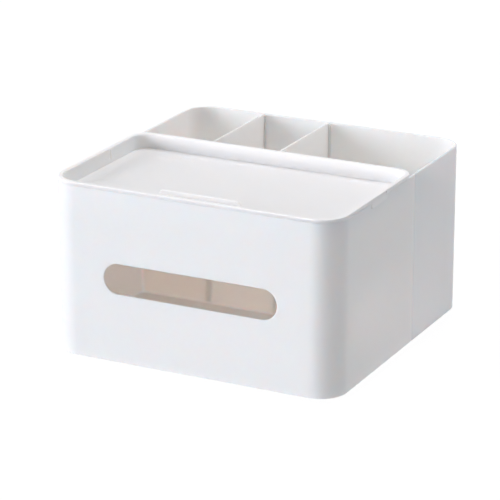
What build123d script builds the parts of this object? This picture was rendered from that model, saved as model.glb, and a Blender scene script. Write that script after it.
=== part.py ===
from build123d import *
import os

# Tissue box holder: a white plastic case with a slot in front, a tray lid and a divided organiser behind.
# X runs left to right, Y front to back, Z up; the origin is the middle of the footprint on the table.

# Case
width = 225.0
depth = 226.5
case_height = 127.5
corner_radius = 20.0
wall = 2.0
floor_thickness = 2.5
inner_corner = 2.0
floor_fillet = 1.5
edge_round = 0.5
base_round = 0.8

# Cross wall between the tissue bay and the organiser
bay_length = 129.4
cross_wall = 2.0
cross_wall_drop = 3.0

# Dispensing slot in the front wall
slot_length = 136.0
slot_height = 22.6
slot_centre_height = 62.9
slot_round = 0.6

# Tray lid
flange_thickness = 2.5
flange_rear_radius = 14.5
flange_overhang = 0.2
seam_round = 0.3
lid_clearance = 0.3
tray_wall = 1.4
tray_recess = 11.0
tray_floor = 1.6
tray_fillet = 0.5
rim_round = 0.8

# Upright rib near the front of the tray
rib_length = 64.0
rib_thickness = 1.8
rib_setback = 16.5
rib_drop = 1.2
rib_end_radius = 4.0
rib_round = 0.7
rib_root_fillet = 0.4

# Fingertip lips at the sides of the lid, their notches in the case and the slits behind them
lip_setback = 57.5
lip_length = 25.4
lip_drop = 4.4
lip_clearance = 0.15
lip_inset = 0.4
lip_proud = 0.5
lip_top_drop = 0.8
lip_round = 0.3
slit_width = 1.2
slit_top_drop = 0.9
slit_depth = 7.2

# Stiffening frames below the tray
frame_insets = (28.5, 41.0)
frame_rib = 1.2
frame_depth = 4.0

# Dividers and their guide channels; the places are measured from the left side
divider_thickness = 1.6
divider_places = {"left": 59.0, "right": 113.8}
divider_end_clearance = 0.5
divider_corner_cut = 2.5
divider_round = 0.5
guide_clearance = 0.2
guide_rib = 1.0
guide_reach = 1.6
guide_drop = 1.0

# Anti-slip pads
pad_diameter = 12.0
pad_thickness = 1.6
pad_proud = 0.6
pad_round = 0.3
pad_clearance = 0.15
pad_inset = 24.0

# Levels and places that follow from the sizes
base = pad_proud
floor_top = base + floor_thickness
case_top = base + case_height
cross_wall_top = case_top - cross_wall_drop
rim_top = case_top + flange_thickness
tray_top = rim_top - tray_recess
tray_bottom = tray_top - tray_floor
half_width = width / 2
front = -depth / 2
rear = depth / 2
bay_front = front + wall
bay_rear = bay_front + bay_length
organiser_front = bay_rear + cross_wall
organiser_rear = rear - wall
flange_rear = organiser_front + flange_overhang
skirt_gap = wall + lid_clearance
skirt_rear = bay_rear - lid_clearance
recess_gap = skirt_gap + tray_wall
recess_rear = skirt_rear - tray_wall
rib_front = front + rib_setback
rib_top = rim_top - rib_drop
lip_front = front + lip_setback
lip_rear = lip_front + lip_length
lip_middle = (lip_front + lip_rear) / 2
lip_bottom = case_top - lip_drop + lip_clearance
lip_edge = half_width + lip_proud
channel_width = divider_thickness + 2 * guide_clearance
hair = 0.01


def rounded_plan(gap, plan_front, plan_rear, front_radius, rear_radius):
    """Draws a plan as wide as the case less a gap at each side, with one radius in front and one behind."""
    length = plan_rear - plan_front
    with Locations((0, plan_front + length / 2)):
        Rectangle(width - 2 * gap, length)
    fillet(vertices().group_by(Axis.Y)[0], radius=front_radius)
    fillet(vertices().group_by(Axis.Y)[-1], radius=rear_radius)


def level_edges(height):
    """Picks the edges of the part in hand that lie at one height."""
    return edges().filter_by_position(Axis.Z, height - hair, height + hair)


# Case body: one block with two pockets, which leave the cross wall between them
with BuildPart() as case_body:
    with BuildSketch(Plane.XY.offset(base)):
        RectangleRounded(width, depth, corner_radius)
    extrude(amount=case_height)
    fillet(level_edges(base), radius=base_round)
    pocket_radius = corner_radius - wall
    with BuildSketch(Plane.XY.offset(floor_top)):
        rounded_plan(wall, bay_front, bay_rear, pocket_radius, inner_corner)
    extrude(amount=case_top - floor_top, mode=Mode.SUBTRACT)
    with BuildSketch(Plane.XY.offset(floor_top)):
        rounded_plan(wall, organiser_front, organiser_rear, inner_corner, pocket_radius)
    extrude(amount=case_top - floor_top, mode=Mode.SUBTRACT)
    fillet(level_edges(floor_top), radius=floor_fillet)
    fillet(level_edges(case_top), radius=edge_round)

    # the cross wall stops short of the rim and leaves a fingertip gap under the tray's rear edge
    with BuildSketch(Plane.XY.offset(cross_wall_top)):
        with Locations((0, (bay_rear + organiser_front) / 2)):
            Rectangle(width - 2 * wall, cross_wall + 2 * inner_corner)
    extrude(amount=cross_wall_drop, mode=Mode.SUBTRACT)

    # dispensing slot
    with BuildSketch(Plane.XZ.offset(-front)):
        with Locations((0, base + slot_centre_height)):
            SlotOverall(slot_length, slot_height)
    extrude(amount=-wall, mode=Mode.SUBTRACT)
    slot_face = faces().sort_by(Axis.Y)[0]
    fillet(slot_face.inner_wires()[0].edges(), radius=slot_round)

    # notches for the lid's fingertip lips
    with BuildSketch(Plane.XY.offset(case_top)):
        with Locations((0, lip_middle)):
            Rectangle(width, lip_length + 2 * lip_clearance)
            Rectangle(width - 2 * wall, lip_length + 2 * lip_clearance, mode=Mode.SUBTRACT)
    extrude(amount=-lip_drop, mode=Mode.SUBTRACT)

    # guide channels: a pair of ribs for each end of each divider
    front_guide = (organiser_front + guide_reach / 2, cross_wall_top)
    rear_guide = (organiser_rear - guide_reach / 2, case_top - guide_drop)
    for guide_y, guide_top in (front_guide, rear_guide):
        with BuildSketch(Plane.XY.offset(floor_top)):
            for place in divider_places.values():
                for side in (-1, 1):
                    guide_x = place - half_width + side * (channel_width + guide_rib) / 2
                    with Locations((guide_x, guide_y)):
                        Rectangle(guide_rib, guide_reach)
        extrude(amount=guide_top - floor_top)

    # pockets for the pads
    with BuildSketch(Plane.XY.offset(base)):
        with GridLocations(width - 2 * pad_inset, depth - 2 * pad_inset, 2, 2):
            Circle(pad_diameter / 2 + pad_clearance)
    extrude(amount=pad_thickness - pad_proud, mode=Mode.SUBTRACT)
case_body.part.label = "case_body"

# Tray lid: a flange on the walls, a skirt inside the bay and a recess from above
with BuildPart() as tray_lid:
    with BuildSketch(Plane.XY.offset(case_top)):
        rounded_plan(0, front, flange_rear, corner_radius, flange_rear_radius)
    extrude(amount=flange_thickness)
    fillet(level_edges(case_top), radius=seam_round)
    with BuildSketch(Plane.XY.offset(tray_bottom)):
        skirt_front_radius = corner_radius - skirt_gap
        skirt_rear_radius = flange_rear_radius - skirt_gap
        rounded_plan(skirt_gap, front + skirt_gap, skirt_rear, skirt_front_radius, skirt_rear_radius)
    extrude(amount=case_top - tray_bottom)
    fillet(level_edges(tray_bottom), radius=edge_round)
    with BuildSketch(Plane.XY.offset(tray_top)):
        recess_front_radius = skirt_front_radius - tray_wall
        recess_rear_radius = skirt_rear_radius - tray_wall
        rounded_plan(recess_gap, front + recess_gap, recess_rear, recess_front_radius, recess_rear_radius)
    extrude(amount=tray_recess, mode=Mode.SUBTRACT)
    fillet(level_edges(tray_top), radius=tray_fillet)
    fillet(faces().sort_by(Axis.Z)[-1].inner_wires()[0].edges(), radius=rim_round)
    fillet(faces().sort_by(Axis.Z)[-1].outer_wire().edges(), radius=edge_round)

    # upright rib with rounded ends
    with BuildSketch(Plane.XZ.offset(-rib_front)):
        with Locations((0, (tray_top + rib_top) / 2)):
            Rectangle(rib_length, rib_top - tray_top)
        fillet(vertices().group_by(Axis.Y)[-1], radius=rib_end_radius)
    extrude(amount=-rib_thickness)
    rib_outline = edges(Select.LAST).filter_by(Axis.Y, reverse=True)
    fillet(rib_outline.filter_by_position(Axis.Z, tray_top + hair, rim_top), radius=rib_round)
    rib_root = level_edges(tray_top).filter_by_position(
        Axis.Y, rib_front - hair, rib_front + rib_thickness + hair
    )
    fillet(rib_root, radius=rib_root_fillet)

    # fingertip lips: their outer faces lean out, from just inside the rim to just proud of the walls
    with BuildSketch(Plane.XY.offset(lip_bottom)):
        with Locations((0, lip_middle)):
            Rectangle(2 * lip_edge, lip_length)
            Rectangle(width - 2 * skirt_gap - tray_wall, lip_length, mode=Mode.SUBTRACT)
    extrude(amount=case_top - lip_bottom)
    with BuildSketch(Plane.XZ.offset(-lip_front)):
        with BuildLine():
            slope_top = (half_width - lip_inset, rim_top - lip_top_drop)
            slope_corner = (lip_edge, rim_top - lip_top_drop)
            Polyline(slope_top, slope_corner, (lip_edge, lip_bottom), close=True)
        make_face()
        mirror(about=Plane.YZ)
    extrude(amount=-lip_length, mode=Mode.SUBTRACT)
    lip_edges = edges().group_by(Axis.X)
    fillet(lip_edges[0] + lip_edges[-1], radius=lip_round)

    # a slit through the tray's wall behind each lip
    with BuildSketch(Plane.XY.offset(rim_top - slit_top_drop)):
        with Locations((0, lip_rear + slit_width / 2)):
            Rectangle(width - 2 * skirt_gap, slit_width)
            Rectangle(width - 2 * recess_gap - 2 * rim_round, slit_width, mode=Mode.SUBTRACT)
    extrude(amount=-slit_depth, mode=Mode.SUBTRACT)

    # stiffening frames
    with BuildSketch(Plane.XY.offset(tray_bottom)):
        with Locations((0, (front + flange_rear) / 2)):
            for inset in sorted(frame_insets):
                frame_width = width - 2 * inset
                frame_length = flange_rear - front - 2 * inset
                Rectangle(frame_width, frame_length)
                Rectangle(frame_width - 2 * frame_rib, frame_length - 2 * frame_rib, mode=Mode.SUBTRACT)
    extrude(amount=-frame_depth)
tray_lid.part.label = "tray_lid"

pieces = [case_body.part, tray_lid.part]

# Dividers: flat plates in the guide channels, cut at the bottom to clear the floor's fillets
for name, place in divider_places.items():
    with BuildPart() as divider:
        divider_front = organiser_front + divider_end_clearance
        divider_rear = organiser_rear - divider_end_clearance
        with BuildSketch(Plane.YZ.offset(place - half_width - divider_thickness / 2)):
            with Locations(((divider_front + divider_rear) / 2, (floor_top + case_top) / 2)):
                Rectangle(divider_rear - divider_front, case_top - floor_top)
            chamfer(vertices().group_by(Axis.Y)[0], length=divider_corner_cut)
            fillet(vertices().group_by(Axis.Y)[-1], radius=divider_round)
        extrude(amount=divider_thickness)
        fillet(level_edges(case_top), radius=divider_round)
    divider.part.label = f"divider_{name}"
    pieces.append(divider.part)

# Pads: round discs in the pockets of the floor
for end, pad_y in {"front": front + pad_inset, "rear": rear - pad_inset}.items():
    for side, pad_x in {"left": pad_inset - half_width, "right": half_width - pad_inset}.items():
        with BuildPart() as pad:
            with BuildSketch(Plane.XY):
                with Locations((pad_x, pad_y)):
                    Circle(pad_diameter / 2)
            extrude(amount=pad_thickness)
            fillet(level_edges(0), radius=pad_round)
        pad.part.label = f"pad_{end}_{side}"
        pieces.append(pad.part)

os.makedirs("parts", exist_ok=True)
for piece in pieces:
    export_step(piece, f"parts/{piece.label}.step")
    print(piece.label, round(piece.volume / 1000, 2), "cm3")
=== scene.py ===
from math import cos, pi, radians, sin

import bpy
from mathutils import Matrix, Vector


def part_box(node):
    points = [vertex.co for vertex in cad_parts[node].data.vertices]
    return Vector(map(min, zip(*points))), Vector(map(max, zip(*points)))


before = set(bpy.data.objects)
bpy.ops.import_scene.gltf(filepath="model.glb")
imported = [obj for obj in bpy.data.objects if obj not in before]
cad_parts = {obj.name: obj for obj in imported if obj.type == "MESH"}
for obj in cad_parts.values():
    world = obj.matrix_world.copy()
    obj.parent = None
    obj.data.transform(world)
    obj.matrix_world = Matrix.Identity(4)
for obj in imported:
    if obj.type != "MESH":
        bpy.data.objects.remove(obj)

# A white tissue box holder, dressed for the studio: finishes, floor, room, lamps and camera.
# Metres, X to the right, Y to the rear, Z up, origin in the middle of the footprint on the table.
caseNodes = ("case_body",)
lidNodes = ("tray_lid",)
dividerNodes = ("divider_left", "divider_right")
padNodes = ("pad_front_left", "pad_front_right", "pad_rear_left", "pad_rear_right")
mm = 0.001  # values whose names end in Mm are in millimetres, and so are the light's depths

for startObject in ("Cube", "Light", "Camera"):
    if startObject in bpy.data.objects:
        bpy.data.objects.remove(bpy.data.objects[startObject])

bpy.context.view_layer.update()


def fromHex(code):
    # sRGB hex to linear: each channel c becomes ((c + 0.055) / 1.055) ** 2.4, or c / 12.92 when it is dark
    channels = [int(code[i : i + 2], 16) / 255 for i in (1, 3, 5)]
    return [c / 12.92 if c <= 0.04045 else ((c + 0.055) / 1.055) ** 2.4 for c in channels] + [1.0]


def addNode(tree, kind, settings=None, values=None, links=None):
    # One node: attributes from settings, socket values from values, and links from other nodes' outputs
    node = tree.nodes.new(kind)
    for name, value in (settings or {}).items():
        setattr(node, name, value)
    for socket, value in (values or {}).items():
        node.inputs[socket].default_value = value
    for socket, output in (links or {}).items():
        tree.links.new(output, node.inputs[socket])
    return node


def newMaterial(name):
    material = bpy.data.materials.new(name)
    material.use_nodes = True
    material.node_tree.nodes.clear()
    return material, material.node_tree


def dress(nodeNames, material):
    for nodeName in nodeNames:
        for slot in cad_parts[nodeName].material_slots:
            slot.material = material


# Injection-moulded ABS, white, from a satin-polished mould: even and faintly glossy, and a little light
# passes its walls
absLook = {
    "roughness": 0.32,
    "patchSpread": 0.04,
    "patchMm": 12.0,
    "ior": 1.53,
    "subsurface": 1.0,
    "peelMm": 0.9,
    "peelHeightMm": 0.0015,
    "waveMm": 45.0,
    "waveHeightMm": 0.02,
}


def mouldedPlastic(name, look):
    # Gloss = roughness +- patchSpread * noise; relief = orange peel + slow mould waviness. It also returns
    # the shader and the object's coordinates, so that a piece can add its own colour, depth or relief
    material, tree = newMaterial(name)
    place = addNode(tree, "ShaderNodeTexCoord").outputs["Object"]
    patches = addNode(
        tree, "ShaderNodeTexNoise", None,
        {"Scale": 1 / (look["patchMm"] * mm), "Detail": 2.0}, {"Vector": place},
    )
    gloss = addNode(
        tree, "ShaderNodeMapRange", None,
        {"To Min": look["roughness"] - look["patchSpread"], "To Max": look["roughness"] + look["patchSpread"]},
        {"Value": patches.outputs["Fac"]},
    )
    wave = addNode(
        tree, "ShaderNodeTexNoise", None,
        {"Scale": 1 / (look["waveMm"] * mm), "Detail": 0.0}, {"Vector": place},
    )
    waveRelief = addNode(
        tree, "ShaderNodeBump", None,
        {"Strength": 1.0, "Distance": look["waveHeightMm"] * mm}, {"Height": wave.outputs["Fac"]},
    )
    peel = addNode(
        tree, "ShaderNodeTexNoise", None,
        {"Scale": 1 / (look["peelMm"] * mm), "Detail": 1.0}, {"Vector": place},
    )
    relief = addNode(
        tree, "ShaderNodeBump", None,
        {"Strength": 1.0, "Distance": look["peelHeightMm"] * mm},
        {"Height": peel.outputs["Fac"], "Normal": waveRelief.outputs["Normal"]},
    )
    shader = addNode(
        tree, "ShaderNodeBsdfPrincipled", None,
        {
            "Base Color": fromHex(look["colour"]),
            "IOR": look["ior"],
            "Subsurface Weight": look["subsurface"],
            "Subsurface Radius": look["depthMm"],
            "Subsurface Scale": mm,
        },
        {"Roughness": gloss.outputs["Result"], "Normal": relief.outputs["Normal"]},
    )
    addNode(tree, "ShaderNodeOutputMaterial", None, None, {"Surface": shader.outputs["BSDF"]})
    return material, tree, shader, place


# The case: warm white, with painted shade on the outer face of the room at the rear: a darker, cooler colour
# there stands in for the step in light across the wall
caseLook = dict(
    absLook,
    colour="#FFFEFC",
    paintedShadeColour="#D8E1E6",
    depthMm=(6.2, 4.5, 3.9),
    stepAtMm=19.15,
    cornerCentreMm=(92.5, 93.25),
    midWallMm=19.0,
    rimReachMm=20.0,
    rimLoss=0.5,
)
caseAbs, caseTree, caseShader, casePlace = mouldedPlastic("abs_satin_moulded_white", caseLook)

# The painted shade is where Y > the step, and where the distance to the centre of the rounded corners,
# sqrt(max(|X| - a, 0)^2 + max(|Y| - b, 0)^2), is past mid-wall. Z is kept out of it by a centre 1 m up
caseAxes = addNode(caseTree, "ShaderNodeSeparateXYZ", None, None, {"Vector": casePlace})
behind = addNode(
    caseTree, "ShaderNodeMath", {"operation": "GREATER_THAN"},
    {1: caseLook["stepAtMm"] * mm}, {0: caseAxes.outputs["Y"]},
)
mirrored = addNode(caseTree, "ShaderNodeVectorMath", {"operation": "ABSOLUTE"}, None, {0: casePlace})
fromCentres = addNode(
    caseTree, "ShaderNodeVectorMath", {"operation": "SUBTRACT"},
    {1: [length * mm for length in caseLook["cornerCentreMm"]] + [1.0]}, {0: mirrored.outputs["Vector"]},
)
pastCentres = addNode(
    caseTree, "ShaderNodeVectorMath", {"operation": "MAXIMUM"},
    {1: (0, 0, 0)}, {0: fromCentres.outputs["Vector"]},
)
fromCorner = addNode(
    caseTree, "ShaderNodeVectorMath", {"operation": "LENGTH"}, None, {0: pastCentres.outputs["Vector"]}
)
outside = addNode(
    caseTree, "ShaderNodeMath", {"operation": "GREATER_THAN"},
    {1: caseLook["midWallMm"] * mm}, {0: fromCorner.outputs["Value"]},
)
paintedShadeMask = addNode(
    caseTree, "ShaderNodeMath", {"operation": "MULTIPLY"}, None, {0: behind.outputs[0], 1: outside.outputs[0]}
)
# Base colour: the case's own warm white, and the darker, cooler painted shade colour where the painted shade
# mask is 1
colourWithPaintedShade = addNode(
    caseTree, "ShaderNodeMix", {"data_type": "RGBA"},
    {6: fromHex(caseLook["colour"]), 7: fromHex(caseLook["paintedShadeColour"])}, {0: paintedShadeMask.outputs[0]},
)
caseTree.links.new(colourWithPaintedShade.outputs[2], caseShader.inputs["Base Color"])

# Light that enters a wall would leak out at its covered rim and leave a dark band there, which the moulding
# doesn't show. So its depth is scaled by 1 - rimLoss * rise: rise goes smoothly from 0, at rimReach below the
# rim, to 1 at the rim, on the outer face ahead of the step, and is 0 elsewhere
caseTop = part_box("case_body")[1][2]
ahead = addNode(
    caseTree, "ShaderNodeMath", {"operation": "LESS_THAN"},
    {1: caseLook["stepAtMm"] * mm}, {0: caseAxes.outputs["Y"]},
)
rise = addNode(
    caseTree, "ShaderNodeMapRange", {"interpolation_type": "SMOOTHSTEP"},
    {"From Min": caseTop - caseLook["rimReachMm"] * mm, "From Max": caseTop}, {"Value": caseAxes.outputs["Z"]},
)
outerAhead = addNode(
    caseTree, "ShaderNodeMath", {"operation": "MULTIPLY"}, None, {0: ahead.outputs[0], 1: outside.outputs[0]}
)
nearRim = addNode(
    caseTree, "ShaderNodeMath", {"operation": "MULTIPLY"}, None,
    {0: outerAhead.outputs[0], 1: rise.outputs["Result"]},
)
rimScale = addNode(
    caseTree, "ShaderNodeMath", {"operation": "MULTIPLY_ADD"},
    {1: -caseLook["rimLoss"] * mm, 2: mm}, {0: nearRim.outputs[0]},
)
caseTree.links.new(rimScale.outputs[0], caseShader.inputs["Subsurface Scale"])
dress(caseNodes, caseAbs)

# The dividers: plain flat plates of the same ABS, a little less warm than the case
dividerLook = dict(absLook, colour="#FCFCFC", depthMm=(6.0, 5.4, 5.0))
dress(dividerNodes, mouldedPlastic("abs_satin_moulded_divider", dividerLook)[0])

# The tray lid: the same ABS, with shorter depths than the case, which keep its thin walls from passing too much
# warm light
trayLook = dict(
    absLook,
    colour="#FFFEFD",
    depthMm=(4.6, 4.1, 3.7),
    frameHalvesMm=((83.4, 37.7), (70.9, 25.2)),
    frameMiddleMm=-46.45,
    sinkReachMm=1.2,
    sinkDepthMm=0.03,
    sideFromMm=105.5,
    sideToMm=108.5,
    sideLoss=0.8,
)
trayAbs, trayTree, trayShader, trayPlace = mouldedPlastic("abs_satin_moulded_tray", trayLook)

# Sink lines in the tray over its stiffening frames. With a and b the half sizes of a frame and c its middle,
# the distance to it is abs(max(|X| - a, |Y - c| - b)), and the skin dips smoothly where the nearer frame is
# close
trayAxes = addNode(trayTree, "ShaderNodeSeparateXYZ", None, None, {"Vector": trayPlace})
sideways = addNode(trayTree, "ShaderNodeMath", {"operation": "ABSOLUTE"}, None, {0: trayAxes.outputs["X"]})
fromMiddle = addNode(
    trayTree, "ShaderNodeMath", {"operation": "SUBTRACT"},
    {1: trayLook["frameMiddleMm"] * mm}, {0: trayAxes.outputs["Y"]},
)
lengthways = addNode(trayTree, "ShaderNodeMath", {"operation": "ABSOLUTE"}, None, {0: fromMiddle.outputs[0]})
toFrames = []
for halfWidth, halfLength in trayLook["frameHalvesMm"]:
    pastSide = addNode(
        trayTree, "ShaderNodeMath", {"operation": "SUBTRACT"}, {1: halfWidth * mm}, {0: sideways.outputs[0]}
    )
    pastEnd = addNode(
        trayTree, "ShaderNodeMath", {"operation": "SUBTRACT"}, {1: halfLength * mm}, {0: lengthways.outputs[0]}
    )
    past = addNode(
        trayTree, "ShaderNodeMath", {"operation": "MAXIMUM"}, None,
        {0: pastSide.outputs[0], 1: pastEnd.outputs[0]},
    )
    toFrames.append(addNode(trayTree, "ShaderNodeMath", {"operation": "ABSOLUTE"}, None, {0: past.outputs[0]}))
nearest = addNode(
    trayTree, "ShaderNodeMath", {"operation": "MINIMUM"}, None,
    {0: toFrames[0].outputs[0], 1: toFrames[1].outputs[0]},
)
skin = addNode(
    trayTree, "ShaderNodeMapRange", {"interpolation_type": "SMOOTHSTEP"},
    {"From Max": trayLook["sinkReachMm"] * mm}, {"Value": nearest.outputs[0]},
)
sink = addNode(
    trayTree, "ShaderNodeBump", None, {"Strength": 1.0, "Distance": trayLook["sinkDepthMm"] * mm},
    {"Height": skin.outputs["Result"], "Normal": trayShader.inputs["Normal"].links[0].from_socket},
)
trayTree.links.new(sink.outputs["Normal"], trayShader.inputs["Normal"])

# The tray's thin side walls would leak light as the case's rim would. Their depth is scaled by
# 1 - sideLoss * rise, where rise goes smoothly from 0 to 1 with |X|, up to the walls' inner faces
sideRise = addNode(
    trayTree, "ShaderNodeMapRange", {"interpolation_type": "SMOOTHSTEP"},
    {"From Min": trayLook["sideFromMm"] * mm, "From Max": trayLook["sideToMm"] * mm},
    {"Value": sideways.outputs[0]},
)
sideScale = addNode(
    trayTree, "ShaderNodeMath", {"operation": "MULTIPLY_ADD"},
    {1: -trayLook["sideLoss"] * mm, 2: mm}, {0: sideRise.outputs["Result"]},
)
trayTree.links.new(sideScale.outputs[0], trayShader.inputs["Subsurface Scale"])
dress(lidNodes, trayAbs)

# The pads: cast silicone rubber, natural grey, which is dull with a fine grain
padLook = {"colour": "#C9CBCB", "roughness": 0.55, "ior": 1.41, "grainMm": 0.6, "grainHeightMm": 0.01}


def castSilicone(name, look):
    # Relief = fine noise over the whole pad
    material, tree = newMaterial(name)
    place = addNode(tree, "ShaderNodeTexCoord").outputs["Object"]
    grain = addNode(
        tree, "ShaderNodeTexNoise", None,
        {"Scale": 1 / (look["grainMm"] * mm), "Detail": 2.0}, {"Vector": place},
    )
    relief = addNode(
        tree, "ShaderNodeBump", None,
        {"Strength": 1.0, "Distance": look["grainHeightMm"] * mm}, {"Height": grain.outputs["Fac"]},
    )
    shader = addNode(
        tree, "ShaderNodeBsdfPrincipled", None,
        {"Base Color": fromHex(look["colour"]), "IOR": look["ior"], "Roughness": look["roughness"]},
        {"Normal": relief.outputs["Normal"]},
    )
    addNode(tree, "ShaderNodeOutputMaterial", None, None, {"Surface": shader.outputs["BSDF"]})
    return material


dress(padNodes, castSilicone("silicone_cast_grey", padLook))
print("finishes made")


def seenRays(tree):
    # 1 for camera, glossy and transmission rays, 0 for the light that falls on the object
    rays = addNode(tree, "ShaderNodeLightPath").outputs
    cameraOrGlossy = addNode(
        tree, "ShaderNodeMath", {"operation": "MAXIMUM"}, None,
        {0: rays["Is Camera Ray"], 1: rays["Is Glossy Ray"]},
    )
    return addNode(
        tree, "ShaderNodeMath", {"operation": "MAXIMUM"}, None,
        {0: cameraOrGlossy.outputs[0], 1: rays["Is Transmission Ray"]},
    ).outputs[0]


# Floor: a light table, which is a large opal acrylic sheet lit softly from below. Half is half its side in
# metres. It gives the object light of strength light and colour tint. Where it is seen it looks white: glow is
# its own light there, and shade the share of the lamps' light that it adds, so that the shadow shows
floorLook = {"half": 6.0, "light": 0.64, "tint": (0.985, 0.965, 1.0, 1), "glow": 0.9, "shade": 0.15}


def makeFloor(look):
    half = look["half"]
    mesh = bpy.data.meshes.new("studioFloor")
    corners = [(-half, -half, 0), (half, -half, 0), (half, half, 0), (-half, half, 0)]
    mesh.from_pydata(corners, [], [(0, 1, 2, 3)])
    floor = bpy.data.objects.new("studioFloor", mesh)
    bpy.context.scene.collection.objects.link(floor)
    material, tree = newMaterial("acrylic_opal_sheet")
    table = addNode(tree, "ShaderNodeEmission", None, {"Color": look["tint"], "Strength": look["light"]})
    shadow = addNode(tree, "ShaderNodeBsdfDiffuse", None, {"Color": [look["shade"]] * 3 + [1]})
    glow = addNode(tree, "ShaderNodeEmission", None, {"Color": (1, 1, 1, 1), "Strength": look["glow"]})
    seen = addNode(tree, "ShaderNodeAddShader", None, None, {0: shadow.outputs[0], 1: glow.outputs[0]})
    surface = addNode(
        tree, "ShaderNodeMixShader", None, None,
        {"Fac": seenRays(tree), 1: table.outputs[0], 2: seen.outputs[0]},
    )
    addNode(tree, "ShaderNodeOutputMaterial", None, None, {"Surface": surface.outputs[0]})
    mesh.materials.append(material)


makeFloor(floorLook)

# Room: no light of its own falls on the object, and it is white where it is seen, also in reflections
roomLook = {"colour": (1, 1, 1, 1), "light": 0.0, "seen": 1.0}


def makeRoom(look):
    world = bpy.data.worlds.new("studioRoom")
    bpy.context.scene.world = world
    world.use_nodes = True
    tree = world.node_tree
    tree.nodes.clear()
    surround = addNode(tree, "ShaderNodeBackground", None, {"Color": look["colour"], "Strength": look["light"]})
    backdrop = addNode(tree, "ShaderNodeBackground", None, {"Color": look["colour"], "Strength": look["seen"]})
    mixed = addNode(
        tree, "ShaderNodeMixShader", None, None,
        {"Fac": seenRays(tree), 1: surround.outputs[0], 2: backdrop.outputs[0]},
    )
    addNode(tree, "ShaderNodeOutputWorld", None, None, {"Surface": mixed.outputs[0]})


makeRoom(roomLook)

# Lamps: four large square softboxes, each at lampDistance from the origin, in metres as their sizes are.
# Azimuth 0 is in front of the object and 90 at its right, and level is the share of white that the lamp alone
# gives a surface square to it
lampDistance = 5.0
keyLamp = {"azimuth": -50, "elevation": 10, "size": 3.0, "level": 1.02, "colour": (0.985, 0.96, 1.0)}
topLamp = {"azimuth": 180, "elevation": 75, "size": 3.0, "level": 0.755, "colour": (0.985, 0.97, 0.985)}
sideLamp = {"azimuth": 112, "elevation": 18, "size": 2.4, "level": 0.165, "colour": (0.94, 0.98, 1.0)}
frontLamp = {"azimuth": -10, "elevation": 10, "size": 3.0, "level": 0.31, "colour": (0.98, 0.96, 1.0)}


def makeSoftbox(name, lamp):
    # Power = level * pi * distance ** 2 * pi, for a flat lamp of any size. A lamp looks down until it is
    # turned up to face the object
    azimuth, elevation = radians(lamp["azimuth"]), radians(lamp["elevation"])
    data = bpy.data.lights.new(name, "AREA")
    data.shape = "SQUARE"
    data.size = lamp["size"]
    data.energy = lamp["level"] * pi * lampDistance ** 2 * pi
    data.color = lamp["colour"]
    softbox = bpy.data.objects.new(name, data)
    away = lampDistance * cos(elevation)
    softbox.location = (away * sin(azimuth), -away * cos(azimuth), lampDistance * sin(elevation))
    softbox.rotation_euler = (radians(90) - elevation, 0, azimuth)
    bpy.context.scene.collection.objects.link(softbox)


makeSoftbox("keySoftbox", keyLamp)
makeSoftbox("topSoftbox", topLamp)
makeSoftbox("sideSoftbox", sideLamp)
makeSoftbox("frontSoftbox", frontLamp)

# White walls pass light on many times, so light may bounce more often than Blender's usual four times
bounceLook = {"diffuse": 100, "all": 200}
bpy.context.scene.cycles.diffuse_bounces = bounceLook["diffuse"]
bpy.context.scene.cycles.max_bounces = bounceLook["all"]
print("studio made")

# Camera: at the photograph's viewing angle, from the right of the slot side and above. Place is in metres,
# turn and down are degrees from looking level along +Y, lens and sensor are in millimetres
cameraLook = {
    "place": (0.7982, -1.6039, 0.6751),
    "turn": 26.726,
    "down": 18.963,
    "lens": 186.05,
    "sensor": 36.0,
}


def makeCamera(look):
    data = bpy.data.cameras.new("studioCamera")
    data.lens = look["lens"]
    data.sensor_width = look["sensor"]
    camera = bpy.data.objects.new("studioCamera", data)
    camera.location = look["place"]
    camera.rotation_euler = (radians(90 - look["down"]), 0, radians(look["turn"]))
    bpy.context.scene.collection.objects.link(camera)
    bpy.context.scene.camera = camera


makeCamera(cameraLook)
bpy.context.scene.view_settings.view_transform = "Standard"
print("camera made")
